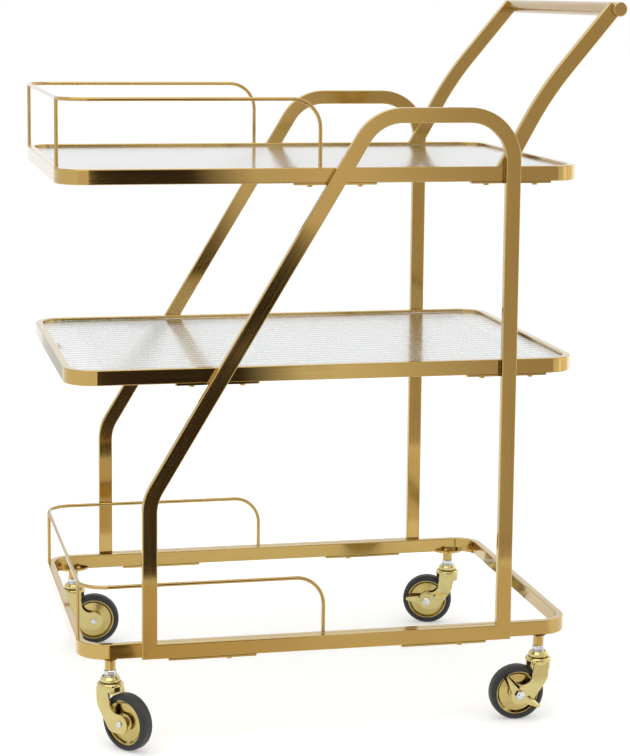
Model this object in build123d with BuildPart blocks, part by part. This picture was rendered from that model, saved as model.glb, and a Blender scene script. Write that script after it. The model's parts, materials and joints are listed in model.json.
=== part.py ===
import os
from math import cos, radians, sin

from build123d import *

# Two-shelf bar cart on four swivel casters. X runs along the cart, with the push handle at +X,
# Y runs across it and Z is up. The origin is on the floor under the middle of the top tray.

# Tube of the frame: its broad face looks sideways in the hoops and arms and inwards in the rings.
tube_height = 20.0
tube_width = 10.0
tube_wall = 1.2
tube_corner = 1.4

# Trays. All three share their handle-side end.
top_tray_length = 695.0
middle_tray_length = 685.0
bottom_frame_length = 670.0
tray_width = 459.0
tray_corner_radius = 40.0
top_tray_height = 754.0
middle_tray_height = 497.0
rail_clearance = 115.5

# Side hoops, by the centrelines of their tubes.
handle_leg_x = 248.5
leg_spacing = 480.0
hoop_height = 831.5
shoulder_x = 64.0
knee_height = 326.5
hoop_bend_radius = 60.0

# Push handle.
arm_foot_x = 241.0
arm_lower_angle = 61.0
arm_upper_angle = 50.3
arm_lower_length = 110.0
arm_upper_length = 145.5
arm_bend_radius = 450.0
arm_top_setback = 5.5
grip_diameter = 19.0
grip_overhang = 6.5
grip_wall = 1.5
grip_chamfer = 1.0

# Rod galleries round the left end.
rod_diameter = 5.0
top_gallery_height = 88.0
top_gallery_inset = 3.0
top_gallery_end_x = -8.5
bottom_gallery_height = 76.0
bottom_gallery_inset = 2.5
bottom_gallery_end_x = 2.0
gallery_corner_radius = 35.0
gallery_end_radius = 37.5
gallery_post_setback = 34.5
gallery_side_offset = 1.5

# Glass shelves, which lie on ledges inside the tray frames.
glass_thickness = 5.0
glass_recess = 3.5
glass_clearance = 1.0
flute_pitch = 17.5
flute_width = 2.0
flute_depth = 0.5
ledge_length = 40.0
ledge_depth = 7.0
ledge_thickness = 1.5
ledge_spacing = 360.0

# Bracket plates and their screws.
plate_length = 110.0
plate_thickness = 2.5
plate_screw_spacing = 67.0
bottom_plate_length = 117.0
bottom_plate_setback = 24.5
bottom_screw_spacing = 45.0
screw_shank_diameter = 4.0
screw_head_diameter = 8.0
screw_head_height = 2.6
screw_head_round = 1.6
screw_length = 6.0
screw_clearance = 0.1

# Casters.
caster_inset_left = 41.0
caster_inset_right = 44.5
sleeve_diameter = 14.2
sleeve_length = 14.3
sleeve_flange_diameter = 18.5
sleeve_flange_thickness = 1.6
sleeve_flare = 1.4
sleeve_chamfer = 0.5
stem_diameter = 8.0
stem_fit = 0.05
nut_width = 15.0
nut_thickness = 6.5
nut_chamfer = 0.8
washer_diameter = 17.0
washer_thickness = 1.7
race_diameter = 26.6
race_height = 7.5
race_slope_width = 3.0
race_slope_height = 2.6
race_chamfer = 1.1
race_hub_diameter = 18.0
pivot_diameter = 10.0
pivot_head_diameter = 16.0
pivot_head_thickness = 2.4
crown_diameter = 33.0
crown_shoulder_diameter = 35.4
crown_opening_diameter = 27.4
crown_drop = 30.2
crown_neck_drop = 39.0
crown_web_drop = 36.0
crown_web_thickness = 2.5
crown_skirt_drop = 46.0
caster_trail = 30.5
prong_outer = 16.0
prong_thickness = 2.5
prong_root_front_x = -10.0
prong_root_rear_x = 9.0
prong_root_round = 2.0
prong_rear_x = 12.5
prong_neck_drop = 50.0
prong_waist_x = -9.5
prong_waist_drop = 58.0
prong_waist_radius = 25.0
prong_heel_x = 13.6
prong_heel_radius = 12.0
prong_throat_radius = 13.0
prong_end_radius = 13.0
wheel_diameter = 75.0
tyre_width = 19.0
tyre_shoulder_radius = 5.5
tyre_clearance = 2.0
disc_radius = 29.8
disc_rim_face = 7.6
disc_rim_width = 1.5
disc_dish_width = 4.5
disc_dish_face = 4.6
disc_web_face = 6.0
disc_hub_diameter = 24.0
disc_boss_face = 8.5
disc_boss_diameter = 16.0
axle_sleeve_diameter = 10.0
axle_diameter = 6.0
axle_head_diameter = 8.7
axle_head_height = 3.0
axle_head_round = 2.4
axle_nut_width = 11.0
axle_nut_thickness = 4.0
axle_nut_chamfer = 0.8
axle_tip_height = 1.5
axle_tip_chamfer = 0.7
running_clearance = 0.05
running_gap = 0.3

# Gusset plates inside the bottom ring, above the casters.
gusset_length = 44.0
gusset_depth = 15.0
gusset_thickness = 3.0
rivet_diameter = 7.0
rivet_height = 3.5
rivet_round = 2.8
rivet_offset = 6.5

# Brake levers on the two handle-side casters. A foot pad is bent out along each wing's upper edge.
lever_thickness = 1.5
lever_hub_radius = 12.0
lever_swing = 52.0
long_wing_length = 34.0
long_wing_angle = 160.0
long_pad_start = 13.0
long_pad_root_width = 8.0
long_pad_tip_width = 5.0
short_wing_length = 32.0
short_wing_angle = 5.0
short_pad_start = 10.0
short_pad_root_width = 10.0
short_pad_tip_width = 7.0
wing_root_width = 18.0
wing_tip_width = 4.4
wing_tip_round = 1.2
pad_end_gap = 1.0
pad_slope = 25.0
pad_round = 2.0

# Heading of each caster's trailing wheel, as the cart was left standing.
trail_front_left = -50.0
trail_front_right = 180.0
trail_back_right = 161.0
trail_back_left = -7.0

# Places worked out from the sizes above.
tray_end_x = top_tray_length / 2
ring_outer_y = tray_width / 2
ring_inner_y = ring_outer_y - tube_width
ring_middle_y = ring_outer_y - tube_width / 2
hoop_middle_y = ring_outer_y + tube_width / 2
hoop_outer_y = ring_outer_y + tube_width
far_leg_x = handle_leg_x - leg_spacing
rail_middle_height = rail_clearance + tube_height / 2
bottom_frame_top = rail_clearance + tube_height
half_tube = tube_height / 2
rod_radius = rod_diameter / 2
gallery_post_y = ring_outer_y - gallery_post_setback
screw_hole_radius = screw_shank_diameter / 2 + screw_clearance
stem_bore_radius = stem_diameter / 2 + stem_fit

os.makedirs("parts", exist_ok=True)


def save(piece, name):
    piece.label = name
    export_step(piece, f"parts/{name}.step")


# Places of the bracket plates and screws


def screw_spots(x_middle, spacing):
    """Screw places under the front and the back tube, half the spacing to each side of x_middle."""
    return [(x_middle + step * spacing / 2, side * ring_middle_y) for side in (-1, 1) for step in (-1, 1)]


def slant_x(height):
    """X of the slanted leg's centreline at a height."""
    rise = (height - knee_height) / (hoop_height - half_tube - knee_height)
    return far_leg_x + rise * (shoulder_x - far_leg_x)


top_plate_height = top_tray_height - tube_height
middle_plate_height = middle_tray_height - tube_height
top_plate_xs = (slant_x(top_plate_height), handle_leg_x)
middle_plate_xs = (slant_x(middle_plate_height), handle_leg_x)
bottom_plate_middle = bottom_plate_setback + bottom_plate_length / 2
bottom_plate_xs = (far_leg_x + bottom_plate_middle, handle_leg_x - bottom_plate_middle)

top_screws = [spot for x in top_plate_xs for spot in screw_spots(x, plate_screw_spacing)]
middle_screws = [spot for x in middle_plate_xs for spot in screw_spots(x, plate_screw_spacing)]
half_spacing = bottom_screw_spacing / 2
bottom_ring_screws = [(x - half_spacing, side * ring_middle_y) for x in bottom_plate_xs for side in (-1, 1)]
bottom_rail_screws = [(x + half_spacing, side * hoop_middle_y) for x in bottom_plate_xs for side in (-1, 1)]


# Hoops and bottom rails


def mitre_wedge(y_middle):
    """The space of a bottom rail, whose slanted ends are the mitres of the hoop's two feet."""
    with BuildPart() as wedge:
        with BuildSketch(Plane.XZ.offset(-y_middle)):
            with BuildLine():
                Polyline(
                    (far_leg_x - half_tube, rail_clearance),
                    (handle_leg_x + half_tube, rail_clearance),
                    (handle_leg_x - half_tube, bottom_frame_top),
                    (far_leg_x + half_tube, bottom_frame_top),
                    close=True,
                )
            make_face()
        extrude(amount=tube_width, both=True)
    return wedge.part


def tube_section(start, direction, sideways):
    """The hollow tube's cross-section, with its narrow side along `sideways`."""
    with BuildSketch(Plane(origin=start, x_dir=sideways, z_dir=direction)) as section:
        RectangleRounded(tube_width, tube_height, tube_corner)
        RectangleRounded(
            tube_width - 2 * tube_wall,
            tube_height - 2 * tube_wall,
            tube_corner / 2,
            mode=Mode.SUBTRACT,
        )
    return section.sketch


def hoop_and_rail(side, y_middle):
    wedge = mitre_wedge(y_middle)
    with BuildPart() as hoop:
        with BuildLine() as centreline:
            FilletPolyline(
                (far_leg_x, y_middle, rail_clearance),
                (far_leg_x, y_middle, knee_height),
                (shoulder_x, y_middle, hoop_height - half_tube),
                (handle_leg_x, y_middle, hoop_height - half_tube),
                (handle_leg_x, y_middle, rail_clearance),
                radius=hoop_bend_radius,
            )
        sweep(tube_section((far_leg_x, y_middle, rail_clearance), (0, 0, 1), (0, 1, 0)), centreline.line)
        add(wedge, mode=Mode.SUBTRACT)
    save(hoop.part, f"hoop_tube_{side}")

    rail_start = (far_leg_x - half_tube, y_middle, rail_middle_height)
    with BuildPart() as rail:
        with BuildLine() as rail_line:
            Line(rail_start, (handle_leg_x + half_tube, y_middle, rail_middle_height))
        sweep(tube_section(rail_start, (1, 0, 0), (0, 1, 0)), rail_line.line)
        add(wedge, mode=Mode.INTERSECT)
        with BuildSketch(Plane.XY.offset(rail_clearance - tube_wall)):
            with Locations(*[spot for spot in bottom_rail_screws if spot[1] * y_middle > 0]):
                Circle(screw_hole_radius)
        extrude(amount=3 * tube_wall, mode=Mode.SUBTRACT)
    save(rail.part, f"bottom_rail_{side}")


hoop_and_rail("front", -hoop_middle_y)
hoop_and_rail("back", hoop_middle_y)


# Trays


def tray_ring(name, length, top, screws):
    """A closed ring of tube, bent round four corners, with screw holes in its underside."""
    x_middle = tray_end_x - length / 2
    with BuildPart() as ring:
        with BuildSketch(Plane.XY.offset(top - tube_height)):
            with Locations((x_middle, 0)):
                RectangleRounded(length, tray_width, tray_corner_radius)
                RectangleRounded(
                    length - 2 * tube_width,
                    tray_width - 2 * tube_width,
                    tray_corner_radius - tube_width,
                    mode=Mode.SUBTRACT,
                )
        extrude(amount=tube_height)
        rims = ring.edges().group_by(Axis.Z)
        fillet(rims[0] + rims[-1], radius=tube_corner)
        with BuildSketch(Plane.XY.offset(top - tube_height + tube_wall)):
            with Locations((x_middle, 0)):
                RectangleRounded(
                    length - 2 * tube_wall,
                    tray_width - 2 * tube_wall,
                    tray_corner_radius - tube_wall,
                )
                RectangleRounded(
                    length - 2 * (tube_width - tube_wall),
                    tray_width - 2 * (tube_width - tube_wall),
                    tray_corner_radius - tube_width + tube_wall,
                    mode=Mode.SUBTRACT,
                )
        extrude(amount=tube_height - 2 * tube_wall, mode=Mode.SUBTRACT)
        with BuildSketch(Plane.XY.offset(top - tube_height - tube_wall)):
            with Locations(*screws):
                Circle(screw_hole_radius)
        extrude(amount=3 * tube_wall, mode=Mode.SUBTRACT)
    save(ring.part, name)


tray_ring("top_tray_frame", top_tray_length, top_tray_height, top_screws)
tray_ring("middle_tray_frame", middle_tray_length, middle_tray_height, middle_screws)
tray_ring("bottom_frame", bottom_frame_length, bottom_frame_top, bottom_ring_screws)


# Bracket plates and screws


def bracket_set(level, height, xs, length, outer_y, screws):
    """Flat bars under the ring at the legs, and the pan-head screws that go up into its tube."""
    with BuildPart() as plates:
        with BuildSketch(Plane.XY.offset(height - plate_thickness)):
            for side in (-1, 1):
                with Locations(*[(x, side * (ring_inner_y + outer_y) / 2) for x in xs]):
                    Rectangle(length, outer_y - ring_inner_y)
        extrude(amount=plate_thickness)
        fillet(plates.edges().filter_by(Axis.Z), radius=tube_corner)
        with BuildSketch(Plane.XY.offset(height - plate_thickness)):
            with Locations(*screws):
                Circle(screw_hole_radius)
        extrude(amount=plate_thickness, mode=Mode.SUBTRACT)
    save(plates.part, f"bracket_plates_{level}")

    with BuildPart() as bolts:
        with BuildSketch(Plane.XY.offset(height - plate_thickness - screw_head_height)):
            with Locations(*screws):
                Circle(screw_head_diameter / 2)
        extrude(amount=screw_head_height)
        fillet(bolts.edges().group_by(Axis.Z)[0], radius=screw_head_round)
        with BuildSketch(Plane.XY.offset(height - plate_thickness)):
            with Locations(*screws):
                Circle(screw_shank_diameter / 2)
        extrude(amount=screw_length)
    save(bolts.part, f"bracket_screws_{level}")


bracket_set("top", top_plate_height, top_plate_xs, plate_length, ring_outer_y, top_screws)
bracket_set("middle", middle_plate_height, middle_plate_xs, plate_length, ring_outer_y, middle_screws)
bottom_screws = bottom_ring_screws + bottom_rail_screws
bracket_set("bottom", rail_clearance, bottom_plate_xs, bottom_plate_length, hoop_outer_y, bottom_screws)


# Glass shelves


def glass_shelf(level, length, top):
    x_middle = tray_end_x - length / 2
    glass_top = top - glass_recess
    inner_length = length - 2 * tube_width
    inner_width = tray_width - 2 * tube_width
    glass_length = inner_length - 2 * glass_clearance
    glass_width = inner_width - 2 * glass_clearance
    flute_count = int((glass_width - flute_pitch) / flute_pitch) + 1
    flute_length = glass_length - 2 * tray_corner_radius
    with BuildPart() as glass:
        with BuildSketch(Plane.XY.offset(glass_top - glass_thickness)):
            with Locations((x_middle, 0)):
                RectangleRounded(glass_length, glass_width, tray_corner_radius - tube_width - glass_clearance)
        extrude(amount=glass_thickness)
        with BuildSketch(Plane.XY.offset(glass_top - glass_thickness)):
            with Locations((x_middle, 0)):
                with GridLocations(0, flute_pitch, 1, flute_count):
                    Rectangle(flute_length, flute_width)
        extrude(amount=flute_depth, mode=Mode.SUBTRACT)
    save(glass.part, f"{level}_glass")

    with BuildPart() as ledges:
        with BuildSketch(Plane.XY.offset(glass_top - glass_thickness - ledge_thickness)):
            with Locations((x_middle, 0)):
                with GridLocations(ledge_spacing, inner_width - ledge_depth, 2, 2):
                    Rectangle(ledge_length, ledge_depth)
                with GridLocations(inner_length - ledge_depth, 0, 2, 1):
                    Rectangle(ledge_depth, ledge_length)
        extrude(amount=ledge_thickness)
    save(ledges.part, f"{level}_glass_ledges")


glass_shelf("top", top_tray_length, top_tray_height)
glass_shelf("middle", middle_tray_length, middle_tray_height)


# Rod galleries


def gallery(level, length, frame_top, height, inset, end_x):
    """A thin rod round the left end of a tier. Its two ends bend down to the frame and two posts carry it."""
    left_x = tray_end_x - length
    rail_height = frame_top + height
    rail_x = left_x + inset
    rail_y = ring_middle_y + gallery_side_offset
    with BuildPart() as rail:
        with BuildLine() as route:
            FilletPolyline(
                (end_x, -rail_y, frame_top),
                (end_x, -rail_y, rail_height),
                (rail_x, -rail_y, rail_height),
                (rail_x, rail_y, rail_height),
                (end_x, rail_y, rail_height),
                (end_x, rail_y, frame_top),
                radius=[
                    gallery_end_radius,
                    gallery_corner_radius,
                    gallery_corner_radius,
                    gallery_end_radius,
                ],
            )
        with BuildSketch(Plane.XY.offset(frame_top)):
            with Locations((end_x, -rail_y)):
                Circle(rod_radius)
        sweep(path=route.line)
    save(rail.part, f"{level}_gallery_rail")

    with BuildPart() as posts:
        with BuildSketch(Plane.XY.offset(frame_top)):
            with Locations((rail_x, -gallery_post_y), (rail_x, gallery_post_y)):
                Circle(rod_radius)
        extrude(amount=height)
        add(rail.part, mode=Mode.SUBTRACT)
    save(posts.part, f"{level}_gallery_posts")


gallery("top", top_tray_length, top_tray_height, top_gallery_height, top_gallery_inset, top_gallery_end_x)
gallery(
    "bottom",
    bottom_frame_length,
    bottom_frame_top,
    bottom_gallery_height,
    bottom_gallery_inset,
    bottom_gallery_end_x,
)


# Push handle

arm_foot = Vector(arm_foot_x, 0, top_tray_height)
arm_low_direction = Vector(cos(radians(arm_lower_angle)), 0, sin(radians(arm_lower_angle)))
arm_high_direction = Vector(cos(radians(arm_upper_angle)), 0, sin(radians(arm_upper_angle)))
arm_knee = arm_foot + arm_low_direction * arm_lower_length
arm_end = arm_knee + arm_high_direction * arm_upper_length
arm_right_side = Vector(sin(radians(arm_upper_angle)), 0, -cos(radians(arm_upper_angle)))
grip_centre = arm_end + arm_right_side * (half_tube - arm_top_setback)
grip_radius = grip_diameter / 2
grip_length = tray_width + 2 * grip_overhang

for side, y_middle in (("front", -ring_middle_y), ("back", ring_middle_y)):
    foot = Vector(arm_foot.X, y_middle, arm_foot.Z) - arm_low_direction * tube_height
    knee = Vector(arm_knee.X, y_middle, arm_knee.Z)
    end = Vector(arm_end.X, y_middle, arm_end.Z)
    with BuildPart() as arm:
        with BuildLine() as arm_line:
            FilletPolyline(foot, knee, end, radius=arm_bend_radius)
        sweep(tube_section(foot, arm_low_direction, (0, 1, 0)), arm_line.line)
        split(bisect_by=Plane.XY.offset(top_tray_height), keep=Keep.TOP)
        with BuildSketch(Plane.XZ.offset(-y_middle)):
            with Locations((grip_centre.X, grip_centre.Z)):
                Circle(grip_radius)
        extrude(amount=tube_width, both=True, mode=Mode.SUBTRACT)
    save(arm.part, f"handle_arm_{side}")

with BuildPart() as grip:
    with BuildSketch(Plane.XZ):
        with Locations((grip_centre.X, grip_centre.Z)):
            Circle(grip_radius)
    extrude(amount=grip_length / 2, both=True)
    chamfer(grip.edges().filter_by(GeomType.CIRCLE), length=grip_chamfer)
    with BuildSketch(Plane.XZ):
        with Locations((grip_centre.X, grip_centre.Z)):
            Circle(grip_radius - grip_wall)
    extrude(amount=grip_length / 2 - grip_wall, both=True, mode=Mode.SUBTRACT)
save(grip.part, "handle_grip")


# Caster seats on the bottom ring

caster_left_x = tray_end_x - bottom_frame_length + caster_inset_left
caster_right_x = tray_end_x - caster_inset_right
caster_spots = [(x, side * ring_middle_y) for x in (caster_left_x, caster_right_x) for side in (-1, 1)]
frame_middle_x = tray_end_x - bottom_frame_length / 2

with BuildPart() as caster_sleeves:
    with BuildSketch(Plane.XY.offset(rail_clearance - sleeve_length)):
        with Locations(*caster_spots):
            Circle(sleeve_diameter / 2)
    extrude(amount=sleeve_length)
    with BuildSketch(Plane.XY.offset(rail_clearance - sleeve_flange_thickness)):
        with Locations(*caster_spots):
            Circle(sleeve_flange_diameter / 2)
    extrude(amount=sleeve_flange_thickness)
    flange_rims = caster_sleeves.edges().filter_by(GeomType.CIRCLE).group_by(Axis.Z)[1]
    chamfer(flange_rims.group_by(SortBy.RADIUS)[-1], length=sleeve_flare, length2=sleeve_flare)
    chamfer(caster_sleeves.edges().group_by(Axis.Z)[0], length=sleeve_chamfer)
    with BuildSketch(Plane.XY.offset(rail_clearance - sleeve_length)):
        with Locations(*caster_spots):
            Circle(stem_bore_radius)
    extrude(amount=sleeve_length, mode=Mode.SUBTRACT)
save(caster_sleeves.part, "caster_sleeves")

# A gusset is the segment of a disc that this chord and depth give.
gusset_radius = (gusset_length**2 / 4 + gusset_depth**2) / (2 * gusset_depth)

with BuildPart() as gussets:
    for x, y in caster_spots:
        side = 1 if y > 0 else -1
        with BuildSketch(Plane.XY.offset(rail_clearance)):
            with Locations((x, side * (ring_inner_y - gusset_depth + gusset_radius))):
                Circle(gusset_radius)
            with Locations((x, side * (ring_inner_y - gusset_depth / 2))):
                Rectangle(gusset_length, gusset_depth, mode=Mode.INTERSECT)
            with Locations((frame_middle_x, 0)):
                RectangleRounded(
                    bottom_frame_length - 2 * tube_width,
                    tray_width - 2 * tube_width,
                    tray_corner_radius - tube_width,
                    mode=Mode.INTERSECT,
                )
        extrude(amount=gusset_thickness)
save(gussets.part, "caster_gussets")

with BuildPart() as rivets:
    with BuildSketch(Plane.XY.offset(rail_clearance + gusset_thickness)):
        for x, y in caster_spots:
            inward = rivet_offset if x < frame_middle_x else -rivet_offset
            side = 1 if y > 0 else -1
            with Locations((x + inward, side * (ring_inner_y - gusset_depth / 2))):
                Circle(rivet_diameter / 2)
    extrude(amount=rivet_height)
    fillet(rivets.edges().group_by(Axis.Z)[-1], radius=rivet_round)
save(rivets.part, "gusset_rivets")

nut_top = rail_clearance - sleeve_length
washer_top = nut_top - nut_thickness
race_top = washer_top - washer_thickness
race_bottom = race_top - race_height
web_top = rail_clearance - crown_web_drop
web_bottom = web_top - crown_web_thickness
race_hub_bottom = web_top + running_gap
pivot_head_top = web_bottom - running_gap

with BuildPart() as stems:
    with BuildSketch(Plane.XY.offset(race_hub_bottom)):
        with Locations(*caster_spots):
            Circle(stem_diameter / 2)
    extrude(amount=rail_clearance - race_hub_bottom)
    with BuildSketch(Plane.XY.offset(pivot_head_top)):
        with Locations(*caster_spots):
            Circle(pivot_diameter / 2)
    extrude(amount=race_hub_bottom - pivot_head_top)
    with BuildSketch(Plane.XY.offset(pivot_head_top - pivot_head_thickness)):
        with Locations(*caster_spots):
            Circle(pivot_head_diameter / 2)
    extrude(amount=pivot_head_thickness)
save(stems.part, "caster_stems")

with BuildPart() as nuts:
    with BuildSketch(Plane.XY.offset(washer_top)):
        with Locations(*caster_spots):
            RegularPolygon(nut_width / 2, 6, major_radius=False)
            Circle(stem_bore_radius, mode=Mode.SUBTRACT)
    extrude(amount=nut_thickness)
    hex_rims = nuts.edges().filter_by(GeomType.LINE).group_by(Axis.Z)
    chamfer(hex_rims[0] + hex_rims[-1], length=nut_chamfer)
save(nuts.part, "caster_nuts")

with BuildPart() as washers:
    with BuildSketch(Plane.XY.offset(race_top)):
        with Locations(*caster_spots):
            Circle(washer_diameter / 2)
            Circle(stem_bore_radius, mode=Mode.SUBTRACT)
    extrude(amount=washer_thickness)
save(washers.part, "caster_washers")

with BuildPart() as races:
    with BuildSketch(Plane.XY.offset(race_bottom)):
        with Locations(*caster_spots):
            Circle(race_diameter / 2)
    extrude(amount=race_height)
    race_rims = races.edges().group_by(Axis.Z)
    chamfer(race_rims[-1], length=race_slope_width, length2=race_slope_height)
    chamfer(race_rims[0], length=race_chamfer)
    with BuildSketch(Plane.XY.offset(race_hub_bottom)):
        with Locations(*caster_spots):
            Circle(race_hub_diameter / 2)
    extrude(amount=race_bottom - race_hub_bottom)
    with BuildSketch(Plane.XY.offset(race_hub_bottom)):
        with Locations(*caster_spots):
            Circle(stem_bore_radius)
    extrude(amount=race_top - race_hub_bottom, mode=Mode.SUBTRACT)
save(races.part, "caster_races")


# Casters

wheel_radius = wheel_diameter / 2
axle_drop = rail_clearance - wheel_radius
prong_inner = prong_outer - prong_thickness
prong_foot_drop = axle_drop + prong_end_radius
prong_throat_drop = axle_drop - prong_end_radius
crown_radius = crown_diameter / 2
skirt_inner_radius = crown_radius - prong_thickness
opening_radius = crown_opening_diameter / 2
shoulder_radius = crown_shoulder_diameter / 2
shoulder_round = shoulder_radius - opening_radius
shoulder_drop = crown_drop + shoulder_round
web_bottom_drop = crown_web_drop + crown_web_thickness
axle_sleeve_radius = axle_sleeve_diameter / 2
disc_hub_radius = disc_hub_diameter / 2
disc_boss_radius = disc_boss_diameter / 2
disc_hub_face = prong_inner - running_gap
lever_face = prong_outer + running_gap


def make_fork(seat, trail, along_axle):
    """Two flat prongs that sweep back to the axle, under a round crown with a rounded shoulder."""
    side_plane = Plane(origin=seat, x_dir=trail, z_dir=-along_axle)
    seat_plane = Plane(origin=seat, x_dir=trail, z_dir=(0, 0, 1))
    with BuildPart() as fork:
        with BuildSketch(side_plane) as outline:
            with BuildLine():
                Polyline(
                    (caster_trail, -prong_foot_drop),
                    (prong_heel_x, -prong_foot_drop),
                    (prong_waist_x, -prong_waist_drop),
                    (prong_root_front_x, -shoulder_drop),
                    (prong_root_rear_x, -shoulder_drop),
                    (prong_rear_x, -prong_neck_drop),
                    (prong_rear_x, -prong_throat_drop),
                    (caster_trail, -prong_throat_drop),
                )
                CenterArc((caster_trail, -axle_drop), prong_end_radius, -90, 180)
            make_face()
            fillet(outline.vertices().group_by(Axis.Y)[-1], radius=prong_root_round)
            heel = outline.vertices().sort_by_distance((prong_heel_x, -prong_foot_drop))[0]
            fillet(heel, radius=prong_heel_radius)
            waist = outline.vertices().sort_by_distance((prong_waist_x, -prong_waist_drop))[0]
            fillet(waist, radius=prong_waist_radius)
            throat = outline.vertices().sort_by_distance((prong_rear_x, -prong_throat_drop))[0]
            fillet(throat, radius=prong_throat_radius)
        extrude(amount=prong_outer, both=True)
        with BuildSketch(side_plane):
            with Locations((caster_trail, -axle_drop)):
                Circle(axle_diameter / 2)
        extrude(amount=prong_outer, both=True, mode=Mode.SUBTRACT)
        with BuildSketch(seat_plane.offset(-web_bottom_drop)):
            with Locations((caster_trail, 0)):
                Rectangle(2 * wheel_diameter, 2 * prong_inner)
        extrude(amount=-wheel_diameter, mode=Mode.SUBTRACT)
        with BuildSketch(seat_plane.offset(-crown_web_drop)):
            Circle(opening_radius)
        extrude(amount=crown_web_drop - crown_drop, mode=Mode.SUBTRACT)
        with BuildSketch(side_plane):
            with BuildLine():
                Polyline(
                    (opening_radius, -crown_drop),
                    (opening_radius, -crown_web_drop),
                    (0, -crown_web_drop),
                    (0, -web_bottom_drop),
                    (skirt_inner_radius, -web_bottom_drop),
                    (skirt_inner_radius, -crown_skirt_drop),
                    (crown_radius, -crown_skirt_drop),
                    (crown_radius, -crown_neck_drop),
                    (shoulder_radius, -shoulder_drop),
                )
                CenterArc((opening_radius, -shoulder_drop), shoulder_round, 0, 90)
            make_face()
        revolve(axis=Axis(seat, (0, 0, 1)))
        with BuildSketch(side_plane):
            with Locations((caster_trail, -axle_drop)):
                Circle(wheel_radius + tyre_clearance)
        extrude(amount=tyre_width / 2 + tyre_clearance, both=True, mode=Mode.SUBTRACT)
        with BuildSketch(seat_plane.offset(-crown_web_drop)):
            Circle(pivot_diameter / 2 + running_clearance)
        extrude(amount=-2 * crown_web_thickness, mode=Mode.SUBTRACT)
    return fork.part


def make_axle(axle_plane, head_face, with_nut):
    """The bolt through both prongs: a domed head inside, and outside a second one, or a nut over a lever."""
    along_bolt = Axis(axle_plane.origin, axle_plane.z_dir)
    with BuildPart() as bolt:
        with BuildSketch(axle_plane.offset(-prong_outer)):
            Circle(axle_diameter / 2 - running_clearance)
        extrude(amount=prong_outer + head_face)
        with BuildSketch(axle_plane.offset(-prong_outer - axle_head_height)):
            Circle(axle_head_diameter / 2)
        extrude(amount=axle_head_height)
        fillet(bolt.edges().group_by(along_bolt)[0], radius=axle_head_round)
        if with_nut:
            with BuildSketch(axle_plane.offset(head_face)):
                RegularPolygon(axle_nut_width / 2, 6, major_radius=False)
            extrude(amount=axle_nut_thickness)
            chamfer(bolt.edges().group_by(along_bolt)[-1], length=axle_nut_chamfer)
            with BuildSketch(axle_plane.offset(head_face + axle_nut_thickness)):
                Circle(axle_diameter / 2 - running_clearance)
            extrude(amount=axle_tip_height)
            chamfer(bolt.edges().group_by(along_bolt)[-1], length=axle_tip_chamfer)
        else:
            with BuildSketch(axle_plane.offset(head_face)):
                Circle(axle_head_diameter / 2)
            extrude(amount=axle_head_height)
            fillet(bolt.edges().group_by(along_bolt)[-1], radius=axle_head_round)
    return bolt.part


def make_axle_sleeve(axle_plane):
    with BuildPart() as sleeve:
        with BuildSketch(axle_plane):
            Circle(axle_sleeve_radius)
            Circle(axle_diameter / 2, mode=Mode.SUBTRACT)
        extrude(amount=prong_inner, both=True)
    return sleeve.part


def make_disc(wheel_plane, axle_axis):
    """The metal wheel centre: a raised rim, a shallow dish and a stepped hub that fills the fork's width."""
    bore = axle_sleeve_radius + running_clearance
    with BuildPart() as disc:
        with BuildSketch(wheel_plane):
            with BuildLine():
                Polyline(
                    (0, disc_radius),
                    (disc_rim_face, disc_radius),
                    (disc_rim_face, disc_radius - disc_rim_width),
                    (disc_dish_face, disc_radius - disc_dish_width),
                    (disc_web_face, disc_hub_radius),
                    (disc_boss_face, disc_boss_radius),
                    (disc_hub_face, disc_boss_radius),
                    (disc_hub_face, bore),
                    (0, bore),
                    close=True,
                )
            make_face()
            mirror(about=Plane.YZ)
        revolve(axis=axle_axis)
    return disc.part


def make_tyre(wheel_plane, axle_axis):
    with BuildPart() as tyre:
        with BuildSketch(wheel_plane) as profile:
            with Locations((0, (disc_radius + wheel_radius) / 2)):
                Rectangle(tyre_width, wheel_radius - disc_radius)
            fillet(profile.vertices().group_by(Axis.Y)[-1], radius=tyre_shoulder_radius)
        revolve(axis=axle_axis)
    return tyre.part


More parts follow.
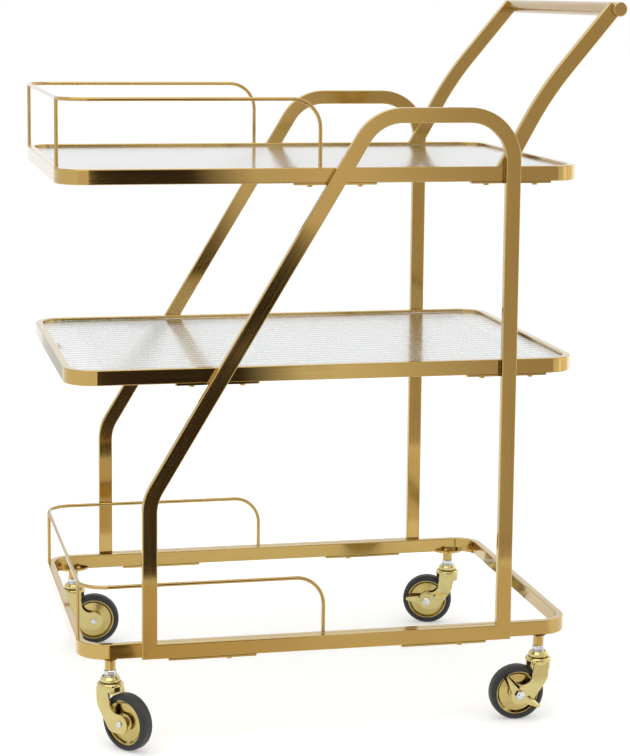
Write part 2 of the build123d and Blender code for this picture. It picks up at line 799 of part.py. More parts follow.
def make_lever(axle, trail, along_axle, turn):
    """A stamped brake lever: a plate with two tapered wings, each with a foot pad bent out along its top."""
    face = axle + along_axle * lever_face
    up = Vector(0, 0, 1)
    turned = trail * cos(radians(turn)) + up * sin(radians(turn))
    hub_plane = Plane(origin=face, x_dir=turned, z_dir=-along_axle)

    def add_wing(angle, reach):
        with Locations(Location((0, 0), angle)):
            Polygon(
                (0, -wing_root_width / 2),
                (reach, -wing_tip_width / 2),
                (reach, wing_tip_width / 2),
                (0, wing_root_width / 2),
                align=None,
            )

    def top_point(angle, reach, distance, upward):
        """A point of a wing's upper edge, at a distance from the axle along the wing."""
        half_width = (wing_root_width + (wing_tip_width - wing_root_width) * distance / reach) / 2
        x = distance * cos(radians(angle)) - upward * half_width * sin(radians(angle))
        y = distance * sin(radians(angle)) + upward * half_width * cos(radians(angle))
        return hub_plane.from_local_coords((x, y, -lever_thickness * sin(radians(pad_slope))))

    def pad_outline(start, end, start_width, end_width):
        along_fold = (end - start).normalized()
        outward = along_axle * cos(radians(pad_slope))
        inward = along_axle.cross(along_fold) * sin(radians(pad_slope))
        pad_plane = Plane(origin=start, x_dir=along_fold, z_dir=along_fold.cross(outward + inward))
        with BuildSketch(pad_plane) as pad:
            with BuildLine():
                Polyline(
                    (0, 0),
                    ((end - start).length, 0),
                    ((end - start).length, end_width),
                    (0, start_width),
                    close=True,
                )
            make_face()
            fillet(pad.vertices().sort_by(Axis.Y)[2:], radius=pad_round)
        return pad.sketch

    short_start = top_point(short_wing_angle, short_wing_length, short_pad_start, 1)
    short_end = top_point(short_wing_angle, short_wing_length, short_wing_length - pad_end_gap, 1)
    long_start = top_point(long_wing_angle, long_wing_length, long_wing_length - pad_end_gap, -1)
    long_end = top_point(long_wing_angle, long_wing_length, long_pad_start, -1)
    short_pad = pad_outline(short_start, short_end, short_pad_root_width, short_pad_tip_width)
    long_pad = pad_outline(long_start, long_end, long_pad_tip_width, long_pad_root_width)

    with BuildPart() as lever:
        with BuildSketch(hub_plane) as plate:
            Circle(lever_hub_radius)
            add_wing(short_wing_angle, short_wing_length)
            add_wing(long_wing_angle, long_wing_length)
            tips = plate.vertices().group_by(Axis.X)
            fillet(tips[0] + tips[-1], radius=wing_tip_round)
        extrude(amount=-lever_thickness)
        extrude(short_pad, amount=-lever_thickness)
        extrude(long_pad, amount=-lever_thickness)
        with BuildSketch(hub_plane):
            Circle(axle_diameter / 2)
        extrude(amount=-lever_thickness, mode=Mode.SUBTRACT)
    return lever.part


def make_caster(place, x, y, heading, lever_turn=None):
    """One caster under its seat, with the wheel trailing towards the heading."""
    trail = Vector(cos(radians(heading)), sin(radians(heading)), 0)
    along_axle = Vector(-trail.Y, trail.X, 0)
    seat = Vector(x, y, rail_clearance)
    axle = Vector(x, y, wheel_radius) + trail * caster_trail
    axle_plane = Plane(origin=axle, x_dir=trail, z_dir=along_axle)
    wheel_plane = Plane(origin=axle, x_dir=along_axle, z_dir=trail)
    axle_axis = Axis(axle, along_axle)
    braked = lever_turn is not None
    head_face = lever_face + lever_thickness + running_gap if braked else prong_outer

    save(make_fork(seat, trail, along_axle), f"fork_{place}")
    save(make_axle(axle_plane, head_face, braked), f"axle_bolt_{place}")
    save(make_axle_sleeve(axle_plane), f"axle_sleeve_{place}")
    save(make_disc(wheel_plane, axle_axis), f"wheel_disc_{place}")
    save(make_tyre(wheel_plane, axle_axis), f"tyre_{place}")
    if braked:
        save(make_lever(axle, trail, along_axle, lever_turn), f"brake_lever_{place}")


make_caster("front_left", caster_left_x, -ring_middle_y, trail_front_left)
make_caster("front_right", caster_right_x, -ring_middle_y, trail_front_right, lever_swing)
make_caster("back_right", caster_right_x, ring_middle_y, trail_back_right, 0)
make_caster("back_left", caster_left_x, ring_middle_y, trail_back_left)
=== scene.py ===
import json
import math

import bmesh
import bpy
from mathutils import Matrix, Vector


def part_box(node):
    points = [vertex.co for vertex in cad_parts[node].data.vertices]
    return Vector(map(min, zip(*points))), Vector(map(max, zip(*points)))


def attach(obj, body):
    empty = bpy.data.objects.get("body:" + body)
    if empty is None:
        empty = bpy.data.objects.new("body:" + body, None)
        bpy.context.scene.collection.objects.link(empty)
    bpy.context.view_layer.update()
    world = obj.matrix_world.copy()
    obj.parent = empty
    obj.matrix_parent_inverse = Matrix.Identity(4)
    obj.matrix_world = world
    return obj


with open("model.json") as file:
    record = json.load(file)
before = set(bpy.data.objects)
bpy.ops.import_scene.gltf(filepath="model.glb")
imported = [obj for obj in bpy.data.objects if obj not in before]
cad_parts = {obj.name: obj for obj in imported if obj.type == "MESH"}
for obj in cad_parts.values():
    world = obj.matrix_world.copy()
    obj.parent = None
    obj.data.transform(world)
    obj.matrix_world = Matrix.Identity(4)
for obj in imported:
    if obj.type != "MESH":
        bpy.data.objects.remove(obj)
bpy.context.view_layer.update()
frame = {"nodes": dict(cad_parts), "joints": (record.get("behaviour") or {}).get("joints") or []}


# Studio: a pale floor and a white surround under soft light. The camera stands to the left of the
# cart, a little above its grip, with a long lens, and looks slightly down on it.


def put_in_scene(name, data):
    """A mesh, a lamp or a camera as an object in the scene."""
    made = bpy.data.objects.new(name, data)
    bpy.context.scene.collection.objects.link(made)
    return made


photo_height = 756
sensor_size = 36.0
focal_pixels = 2144.53
camera_place = Vector((-0.61317, -2.91546, 0.97862))
camera_turn = -0.2193
camera_tilt = 0.13713
camera_roll = 0.01018
camera_shift = -0.12
camera_near_clip = 0.05

looking = Vector(
    (
        -math.sin(camera_turn) * math.cos(camera_tilt),
        math.cos(camera_turn) * math.cos(camera_tilt),
        -math.sin(camera_tilt),
    )
)
level_right = Vector((math.cos(camera_turn), math.sin(camera_turn), 0))
level_up = level_right.cross(looking)
rolled_right = math.cos(camera_roll) * level_right + math.sin(camera_roll) * level_up
rolled_up = -math.sin(camera_roll) * level_right + math.cos(camera_roll) * level_up

camera_data = bpy.data.cameras.new("photo_camera")
camera_data.sensor_width = sensor_size
camera_data.lens = focal_pixels * sensor_size / photo_height
camera_data.shift_y = camera_shift
camera_data.clip_start = camera_near_clip
camera = put_in_scene("photo_camera", camera_data)
camera.matrix_world = Matrix(
    [[rolled_right[i], rolled_up[i], -looking[i], camera_place[i]] for i in range(3)]
    + [[0, 0, 0, 1]]
)
bpy.context.scene.camera = camera
bpy.context.scene.view_settings.view_transform = "Standard"


def linear(hex_colour):
    """An sRGB hex colour as linear red, green, blue and alpha."""
    channels = [int(hex_colour[i : i + 2], 16) / 255 for i in (1, 3, 5)]
    return [c / 12.92 if c <= 0.04045 else ((c + 0.055) / 1.055) ** 2.4 for c in channels] + [1.0]


def add_node(tree, kind, settings=None, **sockets):
    """Adds a node with its settings, and gives inputs, by name or as i0, i1, a value or a link."""
    node = tree.nodes.new(kind)
    for key, value in (settings or {}).items():
        setattr(node, key, value)
    for key, value in sockets.items():
        numbered = key[0] == "i" and key[1:].isdigit()
        spot = node.inputs[int(key[1:]) if numbered else key.replace("_", " ")]
        if isinstance(value, bpy.types.NodeSocket):
            tree.links.new(value, spot)
        else:
            spot.default_value = value
    return node


def seen_directly(tree):
    """1 for what is seen straight, mirrored or through glass, and 0 for the light on the cart."""
    path = add_node(tree, "ShaderNodeLightPath")
    straight_or_mirrored = add_node(
        tree,
        "ShaderNodeMath",
        {"operation": "MAXIMUM"},
        i0=path.outputs["Is Camera Ray"],
        i1=path.outputs["Is Glossy Ray"],
    )
    return add_node(
        tree,
        "ShaderNodeMath",
        {"operation": "MAXIMUM"},
        i0=straight_or_mirrored.outputs[0],
        i1=path.outputs["Is Transmission Ray"],
    ).outputs[0]


surround_light = 0.72
world = bpy.data.worlds.new("white_surround")
bpy.context.scene.world = world
world.use_nodes = True
world.node_tree.nodes.clear()
surround_strength = add_node(
    world.node_tree,
    "ShaderNodeMapRange",
    Value=seen_directly(world.node_tree),
    To_Min=surround_light,
    To_Max=1.0,
)
surround = add_node(
    world.node_tree,
    "ShaderNodeBackground",
    Color=linear("#FFFFFF"),
    Strength=surround_strength.outputs[0],
)
add_node(world.node_tree, "ShaderNodeOutputWorld", Surface=surround.outputs[0])


def new_material(name):
    """A material and its node tree, still empty."""
    material = bpy.data.materials.new(name)
    material.use_nodes = True
    material.node_tree.nodes.clear()
    return material, material.node_tree


# The floor shows white, because a little of its own light is added where it is seen directly. That
# leaves the cart's shadow on it and puts no more light on the cart.
floor_reach = 30.0
floor_lift = 0.33
floor_mesh = bpy.data.meshes.new("floor")
floor_mesh.from_pydata(
    [(x * floor_reach, y * floor_reach, 0) for x, y in ((-1, -1), (1, -1), (1, 1), (-1, 1))],
    [],
    [(0, 1, 2, 3)],
)
floor = put_in_scene("floor", floor_mesh)
floor_paint, floor_tree = new_material("matt_white_floor")
lift_strength = add_node(
    floor_tree,
    "ShaderNodeMath",
    {"operation": "MULTIPLY"},
    i0=seen_directly(floor_tree),
    i1=floor_lift,
)
paint = add_node(floor_tree, "ShaderNodeBsdfDiffuse", Color=linear("#FCFCFB"))
lift = add_node(
    floor_tree, "ShaderNodeEmission", Color=linear("#FFFFFF"), Strength=lift_strength.outputs[0]
)
lifted_paint = add_node(
    floor_tree, "ShaderNodeAddShader", i0=paint.outputs[0], i1=lift.outputs[0]
)
add_node(floor_tree, "ShaderNodeOutputMaterial", Surface=lifted_paint.outputs[0])
floor_mesh.materials.append(floor_paint)


def card(name, corners, colour, strength, clear=None, solid=None, lean=0.0):
    """A card that shows only where metal or glass mirrors it: a painted reflection, which lights
    nothing.

    A soft edge vanishes where X plus lean times Z is clear, and is full where that is solid.
    """
    mesh = bpy.data.meshes.new(name)
    mesh.from_pydata(corners, [], [(0, 1, 2, 3)])
    made = put_in_scene(name, mesh)
    material, tree = new_material(name)
    shader = add_node(tree, "ShaderNodeEmission", Color=linear(colour), Strength=strength)
    if clear is not None:
        place = add_node(tree, "ShaderNodeTexCoord").outputs["Object"]
        across = add_node(
            tree,
            "ShaderNodeVectorMath",
            {"operation": "DOT_PRODUCT"},
            i0=place,
            i1=(1.0, 0.0, lean),
        )
        fade = add_node(
            tree,
            "ShaderNodeMapRange",
            Value=across.outputs["Value"],
            From_Min=clear,
            From_Max=solid,
        )
        shader = add_node(
            tree,
            "ShaderNodeMixShader",
            i0=fade.outputs[0],
            i1=add_node(tree, "ShaderNodeBsdfTransparent").outputs[0],
            i2=shader.outputs[0],
        )
    add_node(tree, "ShaderNodeOutputMaterial", Surface=shader.outputs[0])
    mesh.materials.append(material)
    made.visible_camera = False
    made.visible_diffuse = False
    made.visible_shadow = False
    made.visible_transmission = False


def upright(x0, x1, y, z0, z1):
    """The corners of an upright card that runs along X."""
    return [(x0, y, z0), (x1, y, z0), (x1, y, z1), (x0, y, z1)]


def sideways(x, y0, y1, z1):
    """The corners of an upright card that runs along Y and stands on the floor."""
    return [(x, y0, 0), (x, y1, 0), (x, y1, z1), (x, y0, z1)]


def level(x0, x1, y0, y1, z):
    """The corners of a card that lies level."""
    return [(x0, y0, z), (x1, y0, z), (x1, y1, z), (x0, y1, z)]


# Plain studio cards, seen only where metal and glass mirror them: painted reflections, which light
# nothing. The far ones paint the tubes' even gold: one stands before the cart, and one on its
# right, with dark bars that paint thin dark lines in the reflection.
card("bright_wall_card", upright(-2.4, 3.6, -3.4, 0, 2.6), "#FFF6F0", 0.96)
side_height = 1.8
card("bright_side_card", sideways(1.9, -1.2, 1.4, side_height), "#FFFBF4", 1.6)
bar_width = 0.07
for number, bar_y in enumerate((-0.62, -0.3, 0.05)):
    bar = sideways(1.88, bar_y, bar_y + bar_width, side_height)
    card(f"side_bar_card_{number}", bar, "#8A6F45", 0.7)

# A dim card, with a darker strip low down, paints a dimmer reflection on the upright legs and the
# handle's arms.
card("dim_card", upright(0.2, 0.85, -1.01, 0.01, 1.6), "#FFF0E4", 0.6, 0.2, 0.5)
card("low_strip_card", upright(0.4, 0.75, -1.014, 0.034, 0.06), "#8A7A60", 0.8)

# A dark card paints the dark reflected bands on the tray rings and the slanted legs, and a bright
# strip at its left edge paints a highlight beside them. A dark patch lying at its foot paints a
# dark spot in the bottom ring's reflection, near its left corner.
card("dark_card", upright(-0.224, 0.2, -1.0, 0.01, 0.85), "#3A3034", 1.0, 0.225, 0.12, 0.25)
card("dark_card_top", upright(-0.1, 0.19, -1.004, 0.38, 0.6), "#3A3034", 1.0, 0.37, 0.3, 0.33)
card("dark_card_foot", level(-0.262, -0.2, -0.8, -0.56, 0.004), "#5A4632", 0.5)
card("bright_strip_card", upright(-0.3, -0.226, -1.0, 0.01, 1.2), "#FFFAF0", 1.9)

# Level cards paint shade into the floor that the lower tubes mirror: a dimmed floor, and on the
# left a darker, warmer one that fades out to the right. A grey one behind paints a greyer
# reflection on the rings' left ends.
card("dimmed_floor_reflection_card", level(-0.3, 0.6, -1.0, -0.4, 0.002), "#FFF6EA", 0.93)
card("shaded_floor_reflection_card", level(-0.3, 0.12, -1.0, -0.4, 0.003), "#FFE9C8", 0.8, 0.12, -0.16)
card("grey_card", upright(-0.6, -0.44, 1.2, 0, 0.5), "#F6F5F0", 0.66)

lamp_place = Vector((-0.5, -0.6, 2.9))
lamp_target = Vector((0, 0, 0.3))
lamp_width = 2.4
lamp_watts = 20.0
lamp_data = bpy.data.lights.new("overhead_lamp", "AREA")
lamp_data.shape = "SQUARE"
lamp_data.size = lamp_width
lamp_data.energy = lamp_watts
lamp = put_in_scene("overhead_lamp", lamp_data)
lamp.location = lamp_place
lamp.rotation_euler = (lamp_target - lamp_place).to_track_quat("-Z", "Y").to_euler()


# Hoops and bottom rails: 20 x 10 mm steel tube, bent cold and mitred at the feet, then ground
# smooth along its length, plated champagne gold and lacquered. The plate mirrors what stands near,
# streaked by the grinding lines.


def per_metre(millimetres):
    """How many of a pattern's features go into a metre, from the size of one."""
    return 1000.0 / millimetres


def direction(angle):
    """A direction in the side plane, at an angle in degrees up from X."""
    return (math.cos(math.radians(angle)), 0.0, math.sin(math.radians(angle)))


def blend_along(tree, place, axis, start, end, first, second):
    """One direction before a place along an axis and another after it, turning evenly between."""
    spot = add_node(tree, "ShaderNodeSeparateXYZ", Vector=place).outputs[axis]
    share = add_node(tree, "ShaderNodeMapRange", Value=spot, From_Min=start, From_Max=end)
    return add_node(
        tree,
        "ShaderNodeMix",
        {"data_type": "VECTOR"},
        i0=share.outputs[0],
        i4=first,
        i5=second,
    ).outputs[1]


# Real grinding lines are a few hundredths of a millimetre apart. These are drawn coarser, so that
# they show.
line_spacing = 1.111
line_length = 143.0


def grinding_lines(tree, place, along):
    """Fine lines that run along a direction, from long, thin patches of noise."""
    beside = add_node(
        tree, "ShaderNodeVectorMath", {"operation": "CROSS_PRODUCT"}, i0=place, i1=along
    )
    distance = add_node(
        tree, "ShaderNodeVectorMath", {"operation": "DOT_PRODUCT"}, i0=place, i1=along
    )
    slow = add_node(
        tree,
        "ShaderNodeMath",
        {"operation": "MULTIPLY"},
        i0=distance.outputs["Value"],
        i1=per_metre(line_length),
    )
    drawn_out = add_node(
        tree, "ShaderNodeVectorMath", {"operation": "SCALE"}, i0=along, Scale=slow.outputs[0]
    )
    close_set = add_node(
        tree,
        "ShaderNodeVectorMath",
        {"operation": "SCALE"},
        i0=beside.outputs[0],
        Scale=per_metre(line_spacing),
    )
    spread = add_node(
        tree, "ShaderNodeVectorMath", i0=drawn_out.outputs[0], i1=close_set.outputs[0]
    )
    return add_node(
        tree,
        "ShaderNodeTexNoise",
        Vector=spread.outputs[0],
        Scale=1.0,
        Detail=3.0,
        Roughness=0.6,
    ).outputs[0]


# Noise seldom leaves this range, so it is stretched from there.
noise_low = 0.3
noise_high = 0.7
# How smooth and how rough the metal gets beside and on a line, as a share of its own roughness.
smoothest = 0.7
roughest = 1.4
lacquer_roughness = 0.04

# Cloudy patches a hand wide, where the plate took a little deeper.
plate_cloud = 111.0
cloud_weight = 0.7
line_weight = 0.4
line_depth = 0.00004
lacquer_over_plate = 0.7
# Keeps a face that looks straight along the lines from losing its direction of smear.
off_the_lines = (0.03, 0.05, 0.04)


def plated_gold(
    name,
    direction_of,
    light="#C3A45C",
    deep="#AF914B",
    rough=0.1,
    brushed=0.9,
    relief=0.1,
):
    """Champagne-gold plate on ground steel: warm, mirror-like and smeared across the lines."""
    material, tree = new_material(name)
    place = add_node(tree, "ShaderNodeTexCoord").outputs["Object"]
    along = direction_of(tree, place)
    lines = grinding_lines(tree, place, along)
    clouds = add_node(
        tree, "ShaderNodeTexNoise", Vector=place, Scale=per_metre(plate_cloud), Detail=2.0
    )
    cloud_tone = add_node(
        tree, "ShaderNodeMath", {"operation": "MULTIPLY"}, i0=clouds.outputs[0], i1=cloud_weight
    )
    tone = add_node(
        tree,
        "ShaderNodeMath",
        {"operation": "MULTIPLY_ADD"},
        i0=lines,
        i1=line_weight,
        i2=cloud_tone.outputs[0],
    )
    colour = add_node(
        tree,
        "ShaderNodeMix",
        {"data_type": "RGBA"},
        Factor=tone.outputs[0],
        i6=linear(deep),
        i7=linear(light),
    )
    roughness = add_node(
        tree,
        "ShaderNodeMapRange",
        Value=lines,
        From_Min=noise_low,
        From_Max=noise_high,
        To_Min=smoothest * rough,
        To_Max=roughest * rough,
    )
    surface = add_node(tree, "ShaderNodeNewGeometry").outputs["Normal"]
    off_axis = add_node(tree, "ShaderNodeVectorMath", i0=off_the_lines, i1=along)
    smear = add_node(
        tree,
        "ShaderNodeVectorMath",
        {"operation": "CROSS_PRODUCT"},
        i0=surface,
        i1=off_axis.outputs[0],
    )
    bump = add_node(tree, "ShaderNodeBump", Height=lines, Strength=relief, Distance=line_depth)
    plate = add_node(
        tree,
        "ShaderNodeBsdfPrincipled",
        Base_Color=colour.outputs[2],
        Metallic=1.0,
        Roughness=roughness.outputs[0],
        Anisotropic=brushed,
        Tangent=smear.outputs[0],
        Normal=bump.outputs[0],
        Coat_Weight=lacquer_over_plate,
        Coat_Roughness=lacquer_roughness,
    )
    add_node(tree, "ShaderNodeOutputMaterial", Surface=plate.outputs[0])
    return material


def finish_node(node, material):
    """Gives a CAD node its finish."""
    slots = frame["nodes"][node].data.materials
    slots.clear()
    slots.append(material)


lengthways = (1.0, 0.0, 0.0)
crossways = (0.0, 1.0, 0.0)
upwards = (0.0, 0.0, 1.0)
slant_rise = 59.2
foot_bend = (0.30, 0.35)
slant_into_arch = (0.79, 0.82)
leg_into_arch = (0.77, 0.81)
arch_middle = (0.12, 0.16)


def hoop_direction(tree, place):
    """Up the foot and the slanted leg, along the arch and down the upright leg."""
    slant = blend_along(tree, place, "Z", *foot_bend, upwards, direction(slant_rise))
    slant_side = blend_along(tree, place, "Z", *slant_into_arch, slant, lengthways)
    leg_side = blend_along(tree, place, "Z", *leg_into_arch, upwards, lengthways)
    return blend_along(tree, place, "X", *arch_middle, slant_side, leg_side)


hoop_gold = plated_gold("plated_gold_hoop", hoop_direction)
rail_gold = plated_gold("plated_gold_along_x", lambda tree, place: lengthways)
for side in ("front", "back"):
    finish_node(f"hoop_tube_{side}", hoop_gold)
    finish_node(f"bottom_rail_{side}", rail_gold)


# Tray rings and bottom ring: the same tube, bent on edge round four corners and butt-welded shut
# under the far bar. The weld is ground flush, so the grinding lines simply follow the tube round.

# The lines turn from across to along between these distances from a ring's end.
turn_start = 0.012
turn_end = 0.04

for node in ("top_tray_frame", "middle_tray_frame", "bottom_frame"):
    ring_low, ring_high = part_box(node)

    def ring_direction(tree, place, left=ring_low[0], right=ring_high[0]):
        left_end = blend_along(
            tree, place, "X", left + turn_start, left + turn_end, crossways, lengthways
        )
        return blend_along(
            tree, place, "X", right - turn_end, right - turn_start, left_end, crossways
        )

    finish_node(node, plated_gold(f"plated_gold_{node}", ring_direction))


# Glass ledges, bracket plates and gussets: cut from flat steel strip and punched. They are welded
# inside the tray rings, screwed up under the tiers and welded into the bottom ring's corners, and
# plated with the frame.

for node in (
    "top_glass_ledges",
    "middle_glass_ledges",
    "bracket_plates_top",
    "bracket_plates_middle",
    "bracket_plates_bottom",
    "caster_gussets",
):
    finish_node(node, rail_gold)


# Glass shelves: 5 mm clear rolled glass, moulded with shallow ribs along the cart and ground along
# its edges. They lie loose on the ledges inside the tray rings. The ribs break up what shows
# through and what is mirrored.

rib_pitch = 0.0175
groove_width = 0.005
rib_slope = 0.01
cross_rib_share = 0.4
glass, glass_tree = new_material("reeded_glass")
glass_place = add_node(glass_tree, "ShaderNodeTexCoord").outputs["Object"]
glass_axes = add_node(glass_tree, "ShaderNodeSeparateXYZ", Vector=glass_place)
# The moulded grooves lie half a pitch either side of the middle line.
from_first_groove = add_node(
    glass_tree,
    "ShaderNodeMath",
    {"operation": "ADD"},
    i0=glass_axes.outputs["Y"],
    i1=rib_pitch / 2,
)
from_groove = add_node(
    glass_tree,
    "ShaderNodeMath",
    {"operation": "PINGPONG"},
    i0=from_first_groove.outputs[0],
    i1=rib_pitch / 2,
)
# Painted shade: the glass is tinted darker and greener in the grooves, for the darker surroundings
# that the grooves' flanks would bend into view.
groove_shade_share = add_node(
    glass_tree,
    "ShaderNodeMapRange",
    Value=from_groove.outputs[0],
    From_Max=groove_width / 2,
    To_Min=1.0,
    To_Max=0.0,
)
glass_tint_and_groove_shade = add_node(
    glass_tree,
    "ShaderNodeMix",
    {"data_type": "RGBA"},
    Factor=groove_shade_share.outputs[0],
    i6=linear("#FCFFFD"),
    i7=linear("#DFE9E4"),
)
# The mould left a second, shallower set of ribs across the first.
from_cross_groove = add_node(
    glass_tree,
    "ShaderNodeMath",
    {"operation": "PINGPONG"},
    i0=glass_axes.outputs["X"],
    i1=rib_pitch / 2,
)
glass_height = add_node(
    glass_tree,
    "ShaderNodeMath",
    {"operation": "MULTIPLY_ADD"},
    i0=from_cross_groove.outputs[0],
    i1=cross_rib_share,
    i2=from_groove.outputs[0],
)
glass_bump = add_node(
    glass_tree,
    "ShaderNodeBump",
    Height=glass_height.outputs[0],
    Strength=rib_slope,
    Distance=1.0,
)
clear_glass = add_node(
    glass_tree,
    "ShaderNodeBsdfPrincipled",
    Base_Color=glass_tint_and_groove_shade.outputs[2],
    Roughness=0.11,
    IOR=1.5,
    Transmission_Weight=1.0,
    Normal=glass_bump.outputs[0],
)
add_node(glass_tree, "ShaderNodeOutputMaterial", Surface=clear_glass.outputs[0])

# The glass rests on the ledges with a hair of air between, so light still enters its underside.
hair_of_air = 0.0001
for tier in ("top", "middle"):
    finish_node(f"{tier}_glass", glass)
    settle = frame["nodes"][f"{tier}_glass_ledges"].modifiers.new("hair_of_air", "DISPLACE")
    settle.direction = "Z"
    settle.mid_level = 0.0
    settle.strength = -hair_of_air


# Galleries: 5 mm steel rod bent round the left end of a tier, its ends bent down and welded on top
# of the ring, with two posts under its corners. A small bead of weld stays round each foot.

scratch_relief = 0.00003


def cloudy_metal(name, light, deep, rough, cloud, scratches=0.08, lacquer=0.0):
    """Plated metal whose tone wanders, over clouds of so many millimetres, with fine scratches."""
    material, tree = new_material(name)
    place = add_node(tree, "ShaderNodeTexCoord").outputs["Object"]
    clouds = add_node(
        tree, "ShaderNodeTexNoise", Vector=place, Scale=per_metre(cloud), Detail=3.0
    )
    lines = grinding_lines(tree, place, lengthways)
    colour = add_node(
        tree,
        "ShaderNodeMix",
        {"data_type": "RGBA"},
        Factor=clouds.outputs[0],
        i6=linear(deep),
        i7=linear(light),
    )
    roughness = add_node(
        tree,
        "ShaderNodeMapRange",
        Value=lines,
        From_Min=noise_low,
        From_Max=noise_high,
        To_Min=smoothest * rough,
        To_Max=roughest * rough,
    )
    bump = add_node(
        tree, "ShaderNodeBump", Height=lines, Strength=scratches, Distance=scratch_relief
    )
    plate = add_node(
        tree,
        "ShaderNodeBsdfPrincipled",
        Base_Color=colour.outputs[2],
        Metallic=1.0,
        Roughness=roughness.outputs[0],
        Normal=bump.outputs[0],
        Coat_Weight=lacquer,
        Coat_Roughness=lacquer_roughness,
    )
    add_node(tree, "ShaderNodeOutputMaterial", Surface=plate.outputs[0])
    return material


# Drawn rod is smooth before it is plated, so it has clouds but hardly any lines.
rod_gold = cloudy_metal(
    "plated_gold_rod",
    light="#C0A05C",
    deep="#A98A49",
    rough=0.12,
    cloud=33.33,
    scratches=0.01,
    lacquer=lacquer_over_plate,
)
for node in (
    "top_gallery_rail",
    "top_gallery_posts",
    "bottom_gallery_rail",
    "bottom_gallery_posts",
):
    finish_node(node, rod_gold)

rod_radius = 0.0025
bead_size = 0.0011
bead_sides = 32
bead_steps = 6


def foot_beads(name, feet):
    """A hollow-curved weld bead round the foot of each upright rod, as one mesh."""
    shape = bmesh.new()
    for x, y, z in feet:
        rings = []
        for step in range(bead_steps + 1):
            climb = step / bead_steps * math.pi / 2
            reach = rod_radius + bead_size * (1 - math.sin(climb))
            height = bead_size * (1 - math.cos(climb))
            ring = []
            for side in range(bead_sides):
                turn = 2 * math.pi * side / bead_sides
                corner = (x + reach * math.cos(turn), y + reach * math.sin(turn), z + height)
                ring.append(shape.verts.new(corner))
            rings.append(ring)
        for lower, upper in zip(rings, rings[1:]):
            for i in range(bead_sides):
                j = (i + 1) % bead_sides
                shape.faces.new((lower[i], lower[j], upper[j], upper[i]))
        shape.faces.new(rings[-1])
        shape.faces.new(list(reversed(rings[0])))
    bmesh.ops.recalc_face_normals(shape, faces=shape.faces)
    mesh = bpy.data.meshes.new(name)
    shape.to_mesh(mesh)
    shape.free()
    for face in mesh.polygons:
        face.use_smooth = len(face.vertices) == 4
    mesh.materials.append(rod_gold)
    made = put_in_scene(name, mesh)
    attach(made, "cart_frame")


for tier in ("top", "bottom"):
    rail_low, rail_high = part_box(f"{tier}_gallery_rail")
    post_low, post_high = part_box(f"{tier}_gallery_posts")
    feet = [
        (rail_high[0] - rod_radius, rail_low[1] + rod_radius, rail_low[2]),
        (rail_high[0] - rod_radius, rail_high[1] - rod_radius, rail_low[2]),
        (post_low[0] + rod_radius, post_low[1] + rod_radius, post_low[2]),
        (post_low[0] + rod_radius, post_high[1] - rod_radius, post_low[2]),
    ]
    foot_beads(f"{tier}_gallery_beads", feet)


# Push handle: two curved arms of the frame's tube, welded to the top ring, and a round grip of thin
# steel tube with a satin lacquer that is paler than the frame.

arm_rise = 55.6
arm_gold = plated_gold("plated_gold_arm", lambda tree, place: direction(arm_rise))
grip_gold = plated_gold(
    "satin_gold_grip",
    lambda tree, place: crossways,
    light="#B8995A",
    deep="#A6864A",
    rough=0.3,
    brushed=0.3,
)
finish_node("handle_arm_front", arm_gold)
finish_node("handle_arm_back", arm_gold)
finish_node("handle_grip", grip_gold)


# Screws, rivets and sleeves: domed steel screws up through the bracket plates, domed rivets in the
# corner gussets and short welded sleeves for the caster stems, all plated with the frame.

upright_gold = plated_gold("plated_gold_along_z", lambda tree, place: upwards, brushed=0.2)
for node in (
    "bracket_screws_top",
    "bracket_screws_middle",
    "bracket_screws_bottom",
    "gusset_rivets",
    "caster_sleeves",
):
    finish_node(node, upright_gold)


# Caster stems, nuts, washers, axle bolts and axle sleeves: turned steel with a bright zinc plate,
# faintly cloudy and cool beside the gold. The stem screws into its sleeve under a locknut, and the
# bolt holds the wheel between the fork's prongs.

zinc = cloudy_metal("bright_zinc", light="#E4E6E8", deep="#B9BDC1", rough=0.13, cloud=5.0)
for node in frame["nodes"]:
    if node.startswith(("axle", "caster_stems", "caster_nuts", "caster_washers")):
        finish_node(node, zinc)


# Swivel races, forks and brake levers: pressed steel with a polished brass-coloured plate, a little
# greener and paler than the frame. The race turns in the fork's crown, and the levers rock on the
# axle bolts.

brass = cloudy_metal(
    "polished_brass_plate", light="#D4C78F", deep="#BBAC70", rough=0.09, cloud=16.67
)
for node in frame["nodes"]:
    if node.startswith(("fork", "brake_lever")) or node == "caster_races":
        finish_node(node, brass)


# Wheels: a spun and plated steel centre with fine lathe rings round the hub, and a solid grey
# rubber tyre moulded over it. The tyre's walls show faint mould rings, and dust lies by its tread.

lathe_ring = 0.2857
disc_cloud = 22.22
mould_ring = 1.43
# The dust lies in patches, most of it from this radius out to the tread.
dust_patch = 8.33
dusty_from = 0.031
tread_radius = 0.0375
rubber_grit = 0.4


def distance_from_axle(tree, place, axle, axis):
    """How far a place is from the wheel's axle."""
    outward = add_node(
        tree, "ShaderNodeVectorMath", {"operation": "SUBTRACT"}, i0=place, i1=tuple(axle)
    )
    crossed = add_node(
        tree,
        "ShaderNodeVectorMath",
        {"operation": "CROSS_PRODUCT"},
        i0=outward.outputs[0],
        i1=tuple(axis),
    )
    return add_node(
        tree, "ShaderNodeVectorMath", {"operation": "LENGTH"}, i0=crossed.outputs[0]
    ).outputs["Value"]


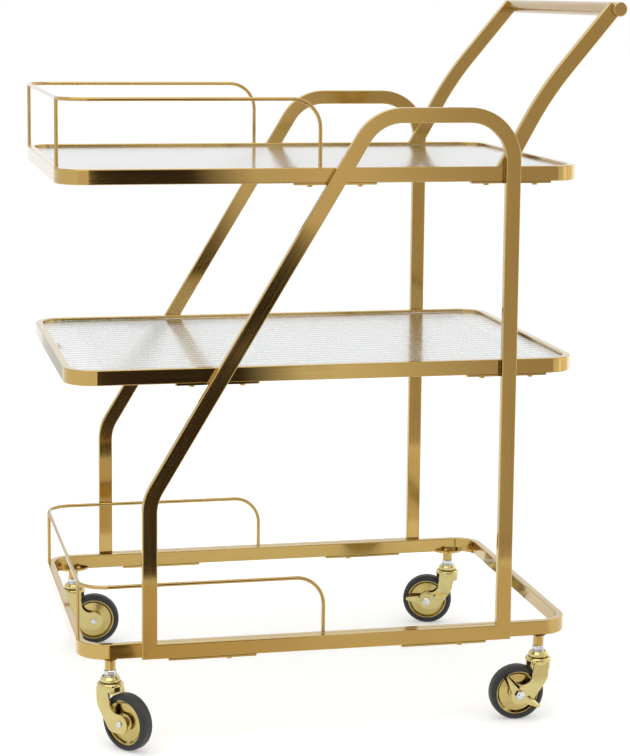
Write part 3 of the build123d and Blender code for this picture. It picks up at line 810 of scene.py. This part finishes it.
for joint in frame["joints"]:
    if not joint["name"].startswith("roll_"):
        continue
    corner = joint["name"][len("roll_") :]
    tyre_low, tyre_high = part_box(f"tyre_{corner}")
    axle = (Vector(tyre_low) + Vector(tyre_high)) / 2
    axis = Vector(joint["axis"])

    # The disc's lathe rings make its roughness uneven from the hub outwards.
    disc_metal, tree = new_material(f"spun_brass_plate_{corner}")
    place = add_node(tree, "ShaderNodeTexCoord").outputs["Object"]
    radius = distance_from_axle(tree, place, axle, axis)
    lathe_rings = add_node(
        tree,
        "ShaderNodeTexNoise",
        {"noise_dimensions": "1D"},
        W=radius,
        Scale=per_metre(lathe_ring),
        Detail=2.0,
    )
    clouds = add_node(
        tree, "ShaderNodeTexNoise", Vector=place, Scale=per_metre(disc_cloud), Detail=2.0
    )
    colour = add_node(
        tree,
        "ShaderNodeMix",
        {"data_type": "RGBA"},
        Factor=clouds.outputs[0],
        i6=linear("#AE9A5A"),
        i7=linear("#CBBA7E"),
    )
    roughness = add_node(
        tree, "ShaderNodeMapRange", Value=lathe_rings.outputs[0], To_Min=0.07, To_Max=0.2
    )
    bump = add_node(
        tree,
        "ShaderNodeBump",
        Height=lathe_rings.outputs[0],
        Strength=0.1,
        Distance=line_depth,
    )
    plate = add_node(
        tree,
        "ShaderNodeBsdfPrincipled",
        Base_Color=colour.outputs[2],
        Metallic=1.0,
        Roughness=roughness.outputs[0],
        Normal=bump.outputs[0],
    )
    add_node(tree, "ShaderNodeOutputMaterial", Surface=plate.outputs[0])
    finish_node(f"wheel_disc_{corner}", disc_metal)

    # The tyre is matt, with its mould's turning marks, a fine grit, and paler where it is dusty.
    rubber, tree = new_material(f"grey_rubber_{corner}")
    place = add_node(tree, "ShaderNodeTexCoord").outputs["Object"]
    radius = distance_from_axle(tree, place, axle, axis)
    mould_rings = add_node(
        tree,
        "ShaderNodeTexNoise",
        {"noise_dimensions": "1D"},
        W=radius,
        Scale=per_metre(mould_ring),
        Detail=2.0,
    )
    dust = add_node(
        tree,
        "ShaderNodeTexNoise",
        Vector=place,
        Scale=per_metre(dust_patch),
        Detail=4.0,
        Roughness=0.7,
    )
    near_tread = add_node(
        tree, "ShaderNodeMapRange", Value=radius, From_Min=dusty_from, From_Max=tread_radius
    )
    dusty = add_node(
        tree,
        "ShaderNodeMath",
        {"operation": "MULTIPLY"},
        i0=dust.outputs[0],
        i1=near_tread.outputs[0],
    )
    colour = add_node(
        tree,
        "ShaderNodeMix",
        {"data_type": "RGBA"},
        Factor=dusty.outputs[0],
        i6=linear("#1E1D20"),
        i7=linear("#3A3936"),
    )
    grit = add_node(
        tree, "ShaderNodeTexNoise", Vector=place, Scale=per_metre(rubber_grit), Detail=2.0
    )
    grit_on_rings = add_node(
        tree,
        "ShaderNodeMath",
        {"operation": "MULTIPLY_ADD"},
        i0=grit.outputs[0],
        i1=0.4,
        i2=mould_rings.outputs[0],
    )
    roughness = add_node(
        tree, "ShaderNodeMapRange", Value=dust.outputs[0], To_Min=0.38, To_Max=0.62
    )
    bump = add_node(
        tree, "ShaderNodeBump", Height=grit_on_rings.outputs[0], Strength=0.2, Distance=0.0001
    )
    matt_rubber = add_node(
        tree,
        "ShaderNodeBsdfPrincipled",
        Base_Color=colour.outputs[2],
        Roughness=roughness.outputs[0],
        Normal=bump.outputs[0],
    )
    add_node(tree, "ShaderNodeOutputMaterial", Surface=matt_rubber.outputs[0])
    finish_node(f"tyre_{corner}", rubber)
